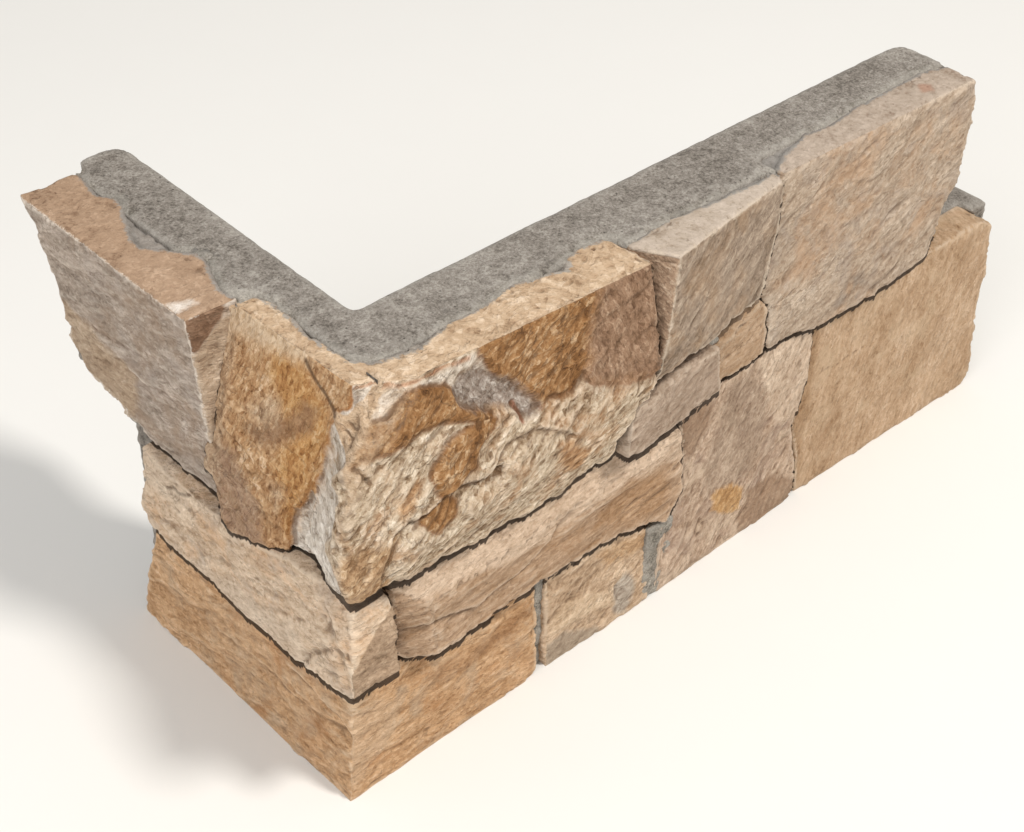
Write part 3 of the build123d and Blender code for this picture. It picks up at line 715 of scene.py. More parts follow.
cornerTopLook = {
    "node": "corner_top_stone", "slot": "rust_stone", "seed": 8, "voxel": 0.9, "onTop": True, "front": "corner",
    "fullerBeds": 0.8, "paintedShadeStrength": 0.6, "paintedLightUnder": (1.1, 1.1, 1.1), "gain": (1.08, 1.08, 1.1),
    "fillers": [((-25, -36, 190), (-13, 30, 199.6)), ((-14, -34, 190), (104, -22, 199.6)),
        ((-39.4, 26, 124), (-23.4, 33.6, 197), (0, 13.5, 0)), ((-36.2, 26, 153), (-20.2, 36.8, 197), (0, 13.5, 0)),
        ((-50, -52, 119), (-38, -38, 134))],
    "layers": (-0.55, -0.1, 1.0), "stretch": 2.8, "swell": 0.9, "plate": 1.7, "plateSize": 15, "step": 0.9,
    "scar": 1.3, "scarSize": 7, "rough": 0.65, "topRough": 0.2, "speckleSize": 1.8,
    "tones": [(84, 62, 42), (140, 117, 91), (178, 157, 131), (204, 186, 161), (232, 217, 195)],
    "washes": [((176, 132, 92), 20, 0.45)], "arrisLight": 0.1, "hollowShadeAndDirt": 0.6, "veins": 0.6, "veinSize": 7,
    "dirtAndShadeTone": (96, 70, 48), "shares": (0.6, 1.0, 0.8, 0.7, 0.25, 0.5), "bumps": (1.5, 0.7, 0.55, 0.5, 0.5),
    "marks": [
        patch(bodyEdge + [(15, 188), (24, 188), (29, 192), (38, 194), (50, 192), (56, 187), (63, 180), (75, 174),
            (85, 173), (91, 167), (100, 168), (118, 168), (127, 168), (151, 160), (165, 100), (14, 100), (8, 116)],
            lift=1.8, slope=1.3),
        patch([(-16, 202), (-16, 112), (14, 112), (16, 150), (14, 186), (16, 202)], round=1.0, slope=3),
        patch([(10.7, 186.6), (14.7, 188), (23.6, 188), (29, 192), (33, 194), (38.5, 194.3), (44.7, 193), (50, 191.8),
            (53, 189.6), (55.6, 187), (58.4, 183.4), (63.5, 180), (68, 177), (74.7, 174.4), (71.5, 173), (63.6, 177),
            (57, 179.4), (50.6, 181), (40, 182), (30.8, 180.3), (20.6, 180.6), (12, 180), (8.7, 178), (6.6, 178.2),
            (9.4, 182)], paint="rust", lift=1.5, slope=0.9),
        patch([(46.7, 160), (45, 164.4), (46.4, 167.6), (51.5, 170.2), (54.6, 172.8), (62, 174.6), (69.7, 173.4),
            (75.3, 172.2), (71, 169), (68, 165.7), (67, 163), (66, 159.6), (60.8, 158.5), (54.4, 156.4), (50, 156.5)],
            paint="rust", lift=1.4, slope=1.2),
        patch([(42.9, 151), (47, 153), (52.4, 154), (56.8, 151.7), (58, 148), (55, 145.5), (50.7, 145), (46.3, 146.2),
            (42, 149.8)], paint="rust", lift=0.5),
        patch([(66.8, 197), (70, 195.3), (75, 188.5), (78.5, 185), (85.3, 182.4), (90, 177.3), (96, 173), (99, 170.4),
            (100, 167.8), (102, 171), (111.5, 169), (117.4, 168.8), (119.6, 171), (123, 173), (127, 168.6),
            (138, 164), (151, 160.5), (170, 158), (170, 206), (66, 206)], paint="rust", lift=1.4),
        patch([(130, 206), (128, 195), (124, 191), (123, 184), (125, 177), (124, 170), (127, 165), (170, 155),
            (170, 206)], paint="umber"),
        patch([(55.5, 187.7), (58.5, 192.6), (65, 194), (70.4, 190.7), (75, 187), (85.3, 182), (94, 174), (100, 169),
            (96.6, 166.7), (91, 167), (85, 173), (76.8, 176.6), (71, 176.3), (63.4, 180.5), (58.4, 184.5)],
            paint="slate", lift=-1.5, slope=1.8, calm=0.8),
        crack([(87.6, 173), (89.5, 170), (90.9, 167)], drop=0.3, width=1.1, paint="fleck"),
        patch([(7, 199), (9, 190), (11, 187), (15, 188), (24, 188), (29, 192), (38, 194.5), (50, 192.5), (56, 188),
            (58, 193), (66, 195), (75, 189), (79, 195), (66, 198), (54, 197.5), (40, 197), (29, 196), (17, 197.5)],
            paint="chalk", calm=0.6),
        crack([(8, 198.5), (17, 198.7), (29, 197), (37, 197.6), (46, 198), (54, 198.2), (62, 197)], drop=0.3,
            width=0.6, paint="redLine"),
        patch([(110, 152), (118, 151.5), (126, 140), (121, 128), (114, 131)], paint="ochre"),
        patch([(29, 160), (34, 162), (38, 166.5), (40.5, 164), (37.4, 157.6), (31, 155)], paint="ochre"),
        patch([(4, 150), (10, 153), (24, 149), (33, 151), (27, 140), (26, 128), (18, 119), (10, 119), (9, 132),
            (4, 143)], paint="foot"),
        ledge([(24.6, 140), (28.3, 150.6), (33.4, 153), (39.7, 152.2), (44, 152.8), (48, 155), (54.4, 156.4),
            (63, 155.4), (69.7, 154.4), (76.4, 154.3)], drop=2.6, reach=11, slope=0.6, paint="crackLine", width=0.5),
        ledge([(76.4, 154.3), (82.7, 160.4), (89.4, 161.8), (96.3, 161.7), (105.7, 158.7), (115.6, 153.3)], drop=1.6,
            reach=9, slope=0.6, paint="crackLine", width=0.1),
        crack([(6.5, 179.7), (9.8, 177), (13, 175), (16.7, 172.4)], drop=1.8, width=0.9),
        patch(skinEdge + [(-110, 100), (-110, 205)], paint="skin", lift=1.6, slope=0.6, calm=0.75),
        patch(skinEdge + [(8, 100), (8, 116)] + bodyEdge + [(9, 192)], paint="channel", lift=-1.2, calm=0.4),
        crack([(-18.6, 196.7), (-15, 193.7), (-9.4, 190.8), (-5, 189), (-2.7, 187)], drop=2.0, width=0.9,
            paint="crackLine"),
        crack([(-2.4, 187.6), (2.4, 187.6), (10.6, 188.6)], drop=1.0, width=0.5),
        crack([(-2.4, 185.6), (2.4, 185.4), (9, 185.4)], drop=1.0, width=0.5),
        ledge([(-46.4, 146), (-54.4, 148), (-65.3, 149.6), (-73.9, 153)], drop=-1.2, reach=10),
        patch([(-54, 156.5), (-46, 162), (-30, 171), (-21, 181.5), (-12.4, 182.4), (-15, 173), (-28, 164),
            (-41, 156)], paint="umberShort"),
        patch([(-40, 196), (-22, 197), (-8, 185), (-5, 176), (-15, 155), (-23, 142), (-30, 128), (-38, 148),
            (-28, 166), (-40, 182)], paint="amber"),
        patch([(-54, 163), (-48.5, 169), (-40.5, 174), (-34, 175), (-33, 170), (-41, 164), (-49, 162)],
            paint="paleShort"),
        patch([(-39, 142), (-31, 145), (-32, 140), (-37, 134)], paint="paleShort"),
        patch([(-110, 205), (-60, 205), (-63, 175), (-66, 157), (-68, 148), (-74, 128), (-80, 100), (-110, 100)],
            paint="paleShort"),
        patch([(-78, 206), (-12, 206), (-16, 197), (-28, 193), (-44, 191), (-58, 188), (-78, 184)],
            paint="creamShort"),
        patch([(-84, 146), (-62, 142), (-48, 130), (-42, 110), (-90, 100)], paint="mauve"),
    ],
    "stains": [
        stain("chalk", [(146, 132, 116), (188, 174, 156), (212, 200, 184), (236, 226, 212)], soft=1.2, strength=0.85),
        stain("channel", [(146, 129, 109), (190, 177, 161), (213, 202, 187), (238, 229, 216)], ragged=1.0),
        stain("ochre", [(118, 80, 46), (168, 124, 82), (196, 158, 116)], ragged=6.0, soft=1.8, strength=0.8),
        stain("foot", [(94, 66, 42), (140, 106, 72), (172, 138, 100), (204, 176, 142)], ragged=8.0, soft=1.8,
            strength=0.85),
        stain("rust", [(68, 43, 23), (112, 77, 44), (139, 99, 60), (160, 122, 82), (194, 163, 127)], ragged=4.5,
            soft=1.0, grow=1.2, rim=(116, 74, 40), rimStrength=0.5),
        stain("umber", [(84, 60, 44), (126, 98, 76), (150, 121, 97), (184, 156, 130)], ragged=10.0, soft=4.0,
            strength=0.9, layers=(1.0, 0.0, 0.15)),
        stain("slate", [(76, 62, 53), (113, 99, 88), (138, 125, 114), (164, 152, 141), (196, 187, 176)], ragged=6.0,
            soft=1.6, strength=0.9, layers=(0.9, 0.0, 0.4)),
        stain("skin", [(104, 68, 38), (156, 115, 77), (182, 142, 101), (204, 168, 128), (228, 198, 164)], ragged=1.6,
            soft=0.4, rim=(150, 98, 52), rimWidth=1.1, layers=(0.12, 1.0, 0.25)),
        stain("amber", [(120, 76, 38), (172, 120, 66), (198, 150, 92), (218, 180, 130)], ragged=11.0, soft=4.0,
            strength=0.75, layers=(0.12, 1.0, 0.25)),
        stain("umberShort", [(94, 66, 46), (134, 102, 76), (164, 130, 100)], ragged=8.0, soft=2.5, strength=0.7),
        stain("mauve", [(116, 90, 70), (148, 122, 102), (176, 150, 130)], ragged=9.0, soft=3.5, strength=0.65),
        stain("paleShort", [(132, 104, 78), (174, 146, 116), (200, 174, 144), (218, 196, 168)], ragged=9.0, soft=3.0,
            strength=0.75, layers=(0.12, 1.0, 0.25)),
        stain("creamShort", [(176, 146, 110), (212, 186, 154), (232, 212, 184)], ragged=12.0, soft=3.5, strength=0.75,
            layers=(0.12, 1.0, 0.25)),
        stain("topFace", [(134, 107, 80), (180, 152, 122), (198, 172, 142), (222, 199, 172)], ragged=1.5, soft=0.4,
            layers=(0.1, 0.1, 1.0)),
        stain("redLine", [(150, 96, 62), (184, 128, 92)], ragged=2.5, strength=0.6),
        stain("fleck", [(134, 82, 56), (158, 104, 78)], ragged=1.0, soft=0.4, strength=0.8),
        # dark crack lines: the cracks' own dark and painted shade in them
        stain("crackLine", [(56, 38, 25), (80, 56, 38)], ragged=1.2, strength=0.7),
    ],
}

cornerBottomLook = {
    "node": "corner_bottom_stone", "slot": "foot_stone", "seed": 12, "front": "corner", "gain": (1.14, 1.1, 1.04),
    "layers": (0.05, 0.25, 1.0), "stretch": 2.8, "scar": 1.2, "scarSize": 16,
    "tones": [(122, 90, 61), (162, 127, 93), (184, 149, 114), (202, 168, 134), (220, 190, 158)],
    "washes": [((176, 158, 138), 22, 0.5), ((160, 112, 70), 26, 0.4)],
    "marks": [
        ledge([(12, 46), (27, 44), (40, 42), (50, 36), (54, 28)], side="short", drop=1.6, reach=10),
        ledge([(-37, 31), (-21, 33), (-6, 32), (13, 32), (24, 33), (40, 37)], side="short", drop=1.0, reach=7),
        patch([(22, 30), (31, 37), (35, 33), (27, 25)], side="short", paint="umber"),
        patch([(-30, 47), (-21, 42), (-25, 27), (-35, 17), (-43, 7), (-60, 0), (-60, 45)], side="long", paint="pale"),
        patch([(-7, 45), (4, 45), (21, 42), (39, 41), (52, 46), (56, 40), (38, 34), (20, 33), (0, 36)], side="long",
            paint="umber"),
    ],
    "stains": [
        stain("pale", [(140, 113, 86), (178, 150, 122), (196, 168, 140), (214, 188, 160)], ragged=9.0, soft=3.0,
            strength=0.8),
        stain("umber", [(114, 82, 56), (150, 113, 79), (176, 140, 105)], ragged=9.0, soft=2.5, strength=0.7),
    ],
}

longLedgeLook = {
    "node": "long_ledge_stone", "slot": "ledge_stone", "seed": 15, "gain": (1.04, 1.04, 1.06),
    "layers": (-0.06, 0.35, 1.0), "stretch": 4.0, "plate": 1.0, "plateSize": 18, "scarSize": 11,
    "tones": [(120, 92, 66), (156, 126, 97), (174, 144, 115), (190, 160, 131), (212, 184, 155)],
    "washes": [((160, 120, 80), 26, 0.4)],
    "marks": [
        patch([(-40, 130), (-24, 107), (-14, 101), (-3, 98), (12, 98), (29, 92), (48, 90), (68, 90), (81, 91),
            (102, 92), (124, 88), (143, 80), (150, 130)], paint="pale", calm=0.6),
        patch([(-40, 103), (-19, 87), (-20, 73), (-11, 50), (-40, 50)], paint="umber"),
        ledge([(-15, 84.5), (-7, 85), (4, 81), (13, 77.5), (22, 78.5), (38, 79.5), (48, 84), (54, 87), (59, 93),
            (66, 96)], drop=1.8, reach=9, slope=0.6, paint="crackLine", width=0.3),
        patch([(89, 86), (102, 91), (124, 85), (133, 69), (126, 57), (98, 67), (80, 76)], paint="ochre"),
    ],
    "stains": [
        stain("ochre", [(126, 90, 56), (164, 126, 88), (190, 154, 118)], ragged=9.0, soft=3.0, strength=0.65),
        stain("umber", [(100, 76, 56), (130, 105, 82), (154, 128, 105)], ragged=3.0, soft=1.5, strength=0.8),
        stain("pale", [(142, 114, 88), (182, 155, 129), (200, 175, 149), (216, 191, 165), (234, 210, 184)],
            ragged=5.0, soft=1.5),
        # dark crack line: the crack's own dark and painted shade in it
        stain("crackLine", [(70, 50, 36), (96, 72, 53)], ragged=1.2, strength=0.6),
    ],
}

longTopMiddleLook = {
    "node": "long_top_middle_stone", "slot": "brown_stone", "seed": 18, "onTop": True, "paintedShadeStrength": 0.7,
    "gain": (0.93, 0.95, 0.98), "fillers": [((122, -38, 190), (190, -33, 199.6))],
    "lean": (11, 56, (150, 165, 180, 200), (106.5, 109, 112, 118.5)), "layers": (-0.5, -0.1, 1.0), "stretch": 3.2,
    "scar": 0.9, "scarSize": 8, "plate": 0.9, "topRough": 0.15,
    "tones": [(104, 85, 68), (138, 118, 98), (158, 137, 117), (178, 156, 134), (206, 184, 160)],
    "washes": [((166, 132, 98), 22, 0.45)], "arrisLight": 0.6, "arrisWidth": 1.2,
    "stains": [
        stain("endFace", [(94, 68, 48), (138, 111, 89), (168, 139, 113), (208, 182, 156)], ragged=0.8, soft=0.3,
            layers=(1.0, 0.0, 0.6)),
        stain("topFace", [(160, 140, 120), (190, 172, 153), (202, 184, 166), (218, 200, 182)], ragged=1.2, soft=0.4),
    ],
}

longTopEndLook = {
    "node": "long_top_end_stone", "slot": "tan_stone", "seed": 21, "onTop": True, "gain": (0.94, 0.96, 1.0),
    "fillers": [((199, -29, 190), (327, -22, 199.6))], "layers": (-0.38, -0.05, 1.0), "stretch": 2.6,
    "scar": 0.8, "scarSize": 7, "plate": 0.8, "topRough": 0.2,
    "tones": [(122, 100, 78), (162, 138, 115), (182, 159, 135), (200, 178, 154), (222, 200, 176)],
    "washes": [((192, 150, 112), 26, 0.45), ((172, 156, 142), 16, 0.4)], "arrisLight": 0.75, "arrisWidth": 1.3,
    "ridgeOnly": 1.0,
    "marks": [
        patch([(246, 130), (254, 130), (259, 122), (249, 124)], paint="grey"),
        patch([(234, 120), (240, 124), (246, 119), (240, 116)], paint="grey"),
        patch([(298, -36), (304, -38), (307, -34), (302, -31)], side="plan", paint="fleck"),
    ],
    "stains": [
        stain("grey", [(132, 116, 100), (156, 140, 124), (176, 160, 143)], ragged=5.0, soft=1.5, strength=0.7),
        stain("topFace", [(144, 122, 102), (176, 157, 138), (192, 173, 154), (212, 192, 172)], ragged=1.2, soft=0.4,
            layers=(-0.05, 0.2, 1.0)),
        stain("fleck", [(160, 112, 86), (186, 138, 112)], soft=1.2, strength=0.6),
    ],
}

stripLook = {
    "node": "strip_stone", "slot": "ledge_stone", "seed": 25, "swell": 0.4, "plate": 0.5, "scar": 0.9,
    "paintedShadeStrength": 0.3, "gain": (0.97, 0.98, 1.02), "layers": (-0.3, 0.0, 1.0), "stretch": 2.6,
    "tones": [(124, 101, 80), (156, 133, 111), (172, 149, 127), (186, 163, 141), (206, 184, 160)], "arrisLight": 0.45,
    "stains": [
        # painted light: the end face, which the lamps leave in shade, is given lighter tones
        stain("endFace", [(156, 137, 118), (188, 169, 148), (206, 188, 168)], ragged=0.8, soft=0.3),
    ],
}

smallBlockLook = {
    "node": "small_block_stone", "slot": "ledge_stone", "seed": 27, "swell": 0.4, "plate": 0.5, "scar": 0.8,
    "fuller": 2.2, "paintedShadeStrength": 0.6, "layers": (-0.2, 0.0, 1.0),
    "tones": [(134, 103, 73), (166, 135, 105), (178, 148, 119), (190, 161, 133), (208, 181, 154)], "arrisLight": 0.4,
}

longLowMiddleLook = {
    "node": "long_low_middle_stone", "slot": "brown_stone", "seed": 30,
    "fillers": [((133, -50, 3), (142, -36, 44))], "gain": (1.07, 1.07, 1.1), "layers": (0.86, 0.0, -0.5),
    "stretch": 2.0, "scar": 1.1, "scarSize": 9,
    "tones": [(118, 92, 69), (156, 130, 106), (178, 152, 128), (200, 175, 150), (226, 203, 178)],
    "washes": [((152, 128, 112), 20, 0.55), ((212, 190, 164), 17, 0.55)],
    "marks": [
        patch([(165.5, 41), (169, 44), (179, 42.5), (190, 33), (191, 17), (180, 22), (168, 33)], paint="ochre",
            lift=0.5),
        patch([(169, 105), (183, 105), (192, 97), (199, 80), (201, 58), (194, 42), (180, 41), (160, 46), (160, 65),
            (166, 87)], paint="grey", calm=0.6),
        patch([(194, 117), (205, 112), (222, 113), (239, 88), (239, 75), (232, 49), (210, 62), (199, 81), (191, 104)],
            paint="pale"),
        patch([(140, 112), (160, 101), (160, 90), (153, 78), (146, 76), (135, 90)], paint="umber"),
        patch([(197, 27), (213, 26), (244, 6), (244, -5), (197, -5), (190, 12)], paint="umber"),
        crack([(158, 25), (161, 30), (164, 27), (163, 22), (159, 22), (158, 25)], drop=0.8, paint="umber"),
    ],
    "stains": [
        stain("pale", [(156, 132, 108), (190, 166, 141), (208, 186, 161), (232, 212, 188)], ragged=10.0, soft=2.5,
            strength=0.75),
        stain("grey", [(114, 93, 75), (148, 126, 105), (170, 148, 126), (194, 173, 150)], ragged=9.0, soft=3.0,
            strength=0.7),
        stain("umber", [(106, 80, 58), (144, 116, 91), (172, 144, 117)], ragged=8.0, soft=2.0, strength=0.75,
            layers=(-0.4, 0.0, 1.0)),
        stain("ochre", [(138, 96, 52), (182, 138, 84), (212, 174, 124)], ragged=7.0, soft=1.2, strength=0.85),
    ],
}

longLowEndLook = {
    "node": "long_low_end_stone", "slot": "tan_stone", "seed": 33, "plate": 0.6, "scar": 0.7, "rough": 0.25,
    "layers": (1.0, 0.0, -0.25),
    "tones": [(138, 107, 77), (170, 139, 108), (187, 156, 125), (202, 172, 142), (222, 195, 166)],
    "washes": [((206, 180, 150), 18, 0.45), ((164, 130, 98), 30, 0.35)], "veins": 0.25,
    "marks": [
        patch([(228, 120), (238, 101), (240, 87), (239, 72), (241, 51), (236, 38), (240, 12), (225, 0)],
            paint="umber"),
        patch([(306, 130), (322, 109), (342, 107), (372, 104), (372, 130)], paint="pale"),
        crack([(245, 74), (257, 71), (267, 71), (280, 70)], drop=0.4, width=0.7, wander=2.5),
    ],
    "stains": [
        stain("umber", [(124, 92, 62), (160, 126, 92), (184, 150, 115)], ragged=7.0, soft=2.5, strength=0.6),
        stain("pale", [(170, 140, 110), (198, 170, 140), (216, 191, 163)], ragged=6.0, soft=2.0, strength=0.7),
    ],
}

bottomFillerLook = {
    "node": "bottom_filler_stone", "slot": "foot_stone", "seed": 36, "gain": (1.06, 1.06, 1.06),
    "layers": (-0.3, 0.2, 1.0), "stretch": 2.0, "scar": 1.3,
    "tones": [(122, 96, 73), (166, 138, 110), (188, 160, 132), (208, 181, 152), (236, 210, 182)],
    "marks": [
        patch([(104, 10), (106, 22), (113, 27), (117, 20), (117, 10), (113, 2), (107, 5)], paint="slate", lift=-0.6,
            slope=1.5),
        patch([(92, 52), (106, 48), (126, 44), (126, 34), (112, 36), (100, 38)], paint="ochre"),
        patch([(64, 26), (73, 33), (90, 29), (105, 19), (106, 11), (93, 15), (79, 18), (66, 19)], paint="pale",
            lift=0.8, slope=1.5),
        patch([(60, 14), (74, 15.5), (97, 3), (92, -5), (60, -5)], paint="grey", calm=0.5),
    ],
    "stains": [
        stain("ochre", [(142, 106, 72), (186, 148, 108), (212, 180, 144)], ragged=7.0, soft=2.0, strength=0.7),
        stain("pale", [(170, 142, 112), (206, 180, 150), (232, 210, 182)], ragged=7.0, soft=2.0, strength=0.6),
        stain("grey", [(128, 112, 96), (160, 144, 126), (184, 167, 149)], ragged=6.0, soft=1.5, strength=0.8),
        stain("slate", [(130, 119, 107), (172, 161, 148), (206, 197, 184)], ragged=6.0, soft=1.5, strength=0.8),
    ],
}

stoneLooks = [
    shortTopLook, shortLedgeLook, cornerTopLook, cornerBottomLook, longLedgeLook, longTopMiddleLook, longTopEndLook,
    stripLook, smallBlockLook, longLowMiddleLook, longLowEndLook, bottomFillerLook,
]

roughStones = []
for stoneLook in stoneLooks:
    look = {**commonStone, **stoneLook}
    name = look["node"].replace("_", " ").title().replace(" ", "")
    name = name[0].lower() + name[1:]
    roughStones.append((look, name, *roughCopy(look["node"], name, look["voxel"], look["fillers"])))
print("rough stones ready:", len(roughStones))

for look, name, stone, arrises in roughStones:
    carve(stone, arrises, look)
    stone.data.materials.append(stoneFinish(name + "Finish", look))
    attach(stone, "root")
    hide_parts(look["node"])
    print("stone carved:", name, len(stone.data.polygons) * 2, "triangles")

# painted shade in the joints and painted shadow below overhangs
storePaintedShade([stone for _, _, stone, _ in roughStones])
print("joint dirt placed")


# mortar squeezed into the joints: lowest corner, highest corner and, where it is turned, its turn in degrees
mortarLumps = [
    ((102, -44, 184), (109, -36, 197.5)),                # wedge between the corner stone and its neighbour
    ((57, -46, 0), (63, -36, 61)),                       # between the two bottom stones
    ((130, -50, 134), (156, -36, 140), (0, -12, 0)),     # over the strip
    ((113, -48, 105), (133, -36, 114), (0, -12, 0)),     # under the strip's right end
    ((-44, -40, 62), (-30, -26, 74)),                    # behind the short ledge stone's end
    ((-38, 36, 150), (-18, 58, 199)),                    # notch at the top of the short leg
    ((123, -50, 0), (141, -36, 46)),                     # pit between the filler stone and the low middle one
    ((322, -42, 112), (330, -36, 140)),                  # along the chipped corner of the end stone
    ((-42, 88, 106), (-34, 104, 112)),                   # under the short top stone
]


def roundCorner(points, centre, radius, low):   # a worn upright corner at the wall side's far end
    across = points[:, 0] - centre[0]
    along = points[:, 1] - centre[1]
    far = np.hypot(across, along)
    inside = (across > 0) & (along > 0) & (far > radius) & (points[:, 2] > low)
    shrink = np.where(inside, radius / np.maximum(far, 1e-6), 1.0)
    points[:, 0] = np.where(inside, centre[0] + across * shrink, points[:, 0])
    points[:, 1] = np.where(inside, centre[1] + along * shrink, points[:, 1])


def pourCement(look):
    piece, _ = roughCopy(look["node"], "cementBacking", look["voxel"], mortarLumps)
    mesh = piece.data
    edges = edgesOf(mesh)
    half = np.full(len(mesh.vertices), 0.5)
    points = relaxed(pointsOf(mesh), edges, half, 2)
    setPoints(mesh, points)
    normals = normalsOf(mesh)
    x, y, z = points.T
    pier = (y > 26) & (y < 36) & (z > 118) & (x < -20)   # no cement stands between the short end and the corner stone
    points[:, 0] = np.where(pier, np.maximum(x, -29.5 - (196 - z) * 0.24), points[:, 0])
    ends = noiseAt(points, 12, 55, 3) * 0.8
    bulge = np.sqrt(49 - np.clip(-15 - x, 0, 7) ** 2)   # the cement's end is round, the bare stone's isn't
    shortEnd = np.minimum(y, look["shortEnd"] + bulge * 1.2 + ends * 0.5)
    points[:, 1] = np.where((z > look["shortStep"]) & (x < -8), shortEnd, points[:, 1])
    longEnd = np.minimum(x, look["longEnd"] + ends)
    points[:, 0] = np.where((z > look["longStep"]) & (y < -24), longEnd, points[:, 0])
    roundCorner(points, (318, -12), 12, look["longStep"])
    roundCorner(points, (-11, 144), 11, look["shortStep"])
    wander = noiseAt(points, 8, 50, 3) * 1.6
    wanderUp = noiseAt(points, 8, 51, 3) * 1.6
    far, side = segmentDistance(x + wander, y + wanderUp, cementEdge)
    toStone = -side * far   # positive over the stones
    head = (z > topLevel - topRim) & (normals[:, 2] > 0.3)
    lump = noiseAt(points, 6, 52, 4)
    crumbs = scarsAt(points, 5, 56)
    fringe = np.exp(-np.clip(-toStone, 0, 30) / 4.0)   # rough along the stones, trowelled further back
    surface = -0.3 - np.abs(noiseAt(points, 30, 53, 2)) * 0.5 + np.minimum(lump, 0.1) * (0.4 + 1.6 * fringe)
    surface -= np.abs(crumbs) * (0.3 + 1.8 * fringe)
    points[:, 2] += np.where(head, surface - easeStep(toStone, -0.2, 1.4) * 4.0, 0)
    proud = np.maximum(-x, -y)
    inFront = (proud > cementFront - 2) & ~head
    points += normals * np.where(inFront & ~pier, lump * 0.9 - crumbs * 0.8 - 0.2, 0)[:, None]
    wall = (proud < 2) & ~head   # wall side, ends and steps stay nearly flat
    points -= normals * np.where(wall, np.abs(noiseAt(points, 10, 54, 4)) * 0.5, 0)[:, None]
    keepInBox(points)
    cracks = [segmentDistance(x + wander, y + wanderUp, line)[0] for line in look["cracks"]]
    storeField(mesh, "crest", crestOf(points, edges, normals))
    storeField(mesh, "cementEdge", np.where(head, -toStone, farOff))
    storeField(mesh, "crack", np.where(head, np.min(cracks, axis=0), -farOff))
    storeField(mesh, "joint", np.maximum(-x, -y) - cementFront)
    setPoints(mesh, points)
    mesh.shade_smooth()
    piece.data.materials.append(cementFinish("cementFinish", look))
    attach(piece, "root")
    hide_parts(look["node"])
    print("cement poured:", len(mesh.polygons) * 2, "triangles")


def cementFinish(name, look):
    finish, tree, shader, place = newFinish(name)
    blotch = grainNoise(place, 30, 5.0, 0.65)
    grain = grainNoise(place, 5, 8.0, 0.75)
    grit = grainNoise(place, 1.1, 4.0, 0.75)
    shares = look["shares"]
    middle = sum(shares) / 2
    shade = ranged(weighted(zip((blotch, grain, grit), shares)), middle - look["spread"], middle + look["spread"])
    colour = ramp(shade, look["tones"])
    pale = ramp(shade, look["fringeTones"])
    fringe = calc("ABSOLUTE", ruffled(fieldOf(tree, "cementEdge"), grain, 16.0))
    colour = blend(ranged(fringe, 1.0, 5.0, 0.7, 0.0), colour, pale)
    colour = blend(ranged(fieldOf(tree, "joint"), 0.0, 1.5, 0.0, 0.9), colour, pale)
    crest = fieldOf(tree, "crest")
    # painted shade: the cement is darker in its hollows
    colour = blend(ranged(crest, -0.1, -0.6, 0.0, 0.6), colour, look["hollowShadeTone"])
    # dark crack lines: the cracks' own dark and painted shade in them
    crack = weighted([(grit, 1.5), (fieldOf(tree, "crack"), 1.0)])
    colour = blend(ranged(crack, 1.1, 1.9, 0.85, 0.0), colour, look["crackTone"])
    colour = blend(ranged(crest, 0.05, 0.5, 0.0, 0.35), colour, look["crestTone"])
    pits = put(tree, "ShaderNodeTexVoronoi", {"Vector": place, "Scale": 1 / (look["pitSize"] * mm)})
    pits = ranged(pits.outputs["Distance"], 0.05, 0.1, 1.0, 0.0)
    colour = blend(calc("MULTIPLY", pits, 0.6), colour, look["pitTone"])
    height = weighted([(grain, 2.0), (grit, 0.9), (pits, -0.8)])
    return dressShader(finish, tree, shader, colour, ranged(grain, 0.3, 0.7, 0.85, 0.97), height, 0.2)


pourCement(cementLook)


studio = {
    "floorSize": 8.0, "floorTone": (236, 234, 230), "worldTone": (1.0, 0.99, 0.97), "worldStrength": 0.5,
    "lamps": [   # name, place, size, watts, colour
        ("keyLamp", (0.55, -1.25, 2.35), 0.45, 46, (1.0, 0.97, 0.92)),
        ("fillLamp", (-1.7, -0.6, 1.5), 1.4, 22, (0.97, 0.98, 1.0)),
    ],
    "aim": (0.12, -0.02, 0.1),
}


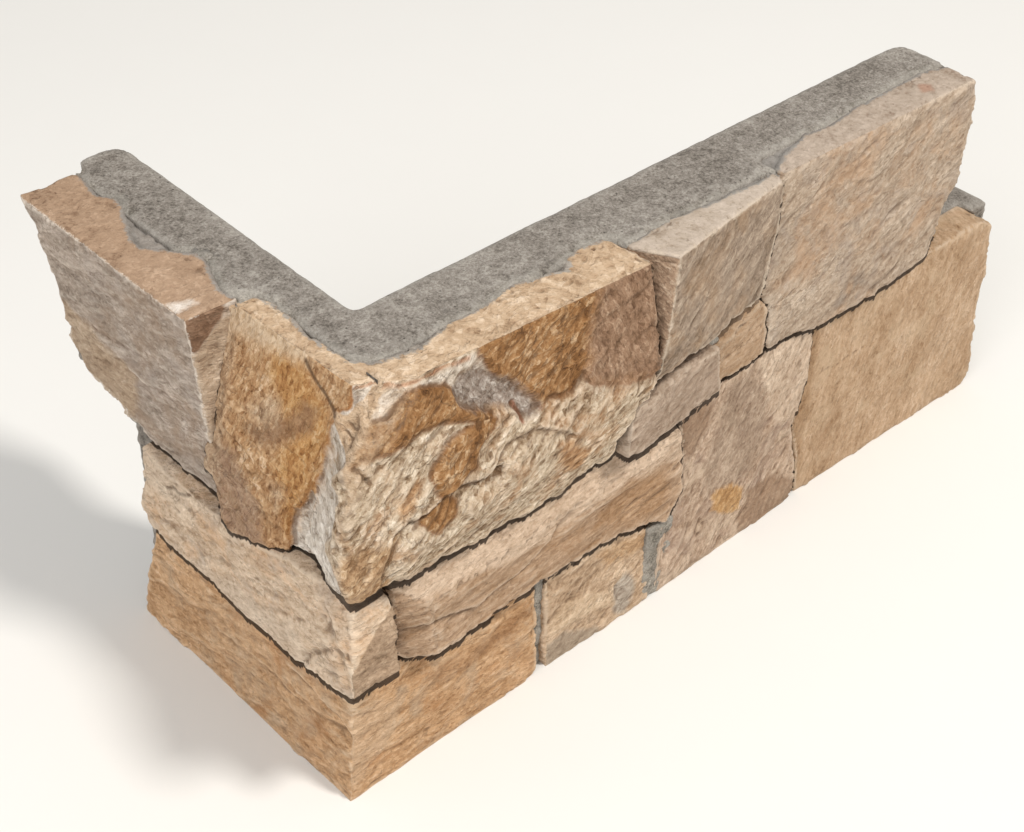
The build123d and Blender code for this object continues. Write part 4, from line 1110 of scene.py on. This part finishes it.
def buildStudio(look):
    clearSelection()
    bpy.ops.mesh.primitive_plane_add(size=look["floorSize"], location=(0, 0, 0))
    floor = bpy.context.active_object
    floor.name = "studioFloor"
    finish, tree, shader, place = newFinish("floorFinish")
    tone = displayTone(*look["floorTone"])
    darker = tuple(c * 0.985 for c in tone[:3]) + (1.0,)
    paper = put(tree, "ShaderNodeMix", {0: grainNoise(place, 40, 3.0, 0.5), 6: tone, 7: darker}, data_type="RGBA")
    tree.links.new(paper.outputs[2], shader.inputs["Base Color"])
    shader.inputs["Roughness"].default_value = 0.9
    floor.data.materials.append(finish)
    for name, spot, size, watts, colour in look["lamps"]:
        lamp = bpy.data.lights.new(name, "AREA")
        lamp.shape = "DISK"
        lamp.size, lamp.energy, lamp.color = size, watts, colour
        holder = bpy.data.objects.new(name, lamp)
        bpy.context.collection.objects.link(holder)
        holder.location = spot
        holder.rotation_euler = (Vector(look["aim"]) - Vector(spot)).to_track_quat("-Z", "Y").to_euler()
    world = bpy.data.worlds.new("studioWorld")
    bpy.context.scene.world = world
    world.use_nodes = True
    sky = world.node_tree.nodes["Background"]
    sky.inputs["Color"].default_value = look["worldTone"] + (1.0,)
    sky.inputs["Strength"].default_value = look["worldStrength"]
    bpy.context.scene.view_settings.view_transform = "Standard"
    print("studio built")


# the photo's view, solved from its straight edges
photoView = {
    "lens": 58.617, "place": (-0.301606, -0.393194, 0.561768), "right": (0.73177289, -0.68082612, 0.03137241),
    "up": (0.41826198, 0.48495188, 0.76803554), "ahead": (0.53811277, 0.5489057, -0.63963832),
}


def placeCamera(look):
    camera = bpy.data.cameras.new("photoCamera")
    camera.sensor_fit = "HORIZONTAL"
    camera.sensor_width = 36.0
    camera.lens = look["lens"]
    camera.clip_start, camera.clip_end = 0.02, 50
    holder = bpy.data.objects.new("photoCamera", camera)
    bpy.context.collection.objects.link(holder)
    turn = Matrix((Vector(look["right"]), Vector(look["up"]), -Vector(look["ahead"]))).transposed().to_4x4()
    holder.matrix_world = Matrix.Translation(look["place"]) @ turn
    bpy.context.scene.camera = holder
    print("camera placed")


buildStudio(studio)
placeCamera(photoView)
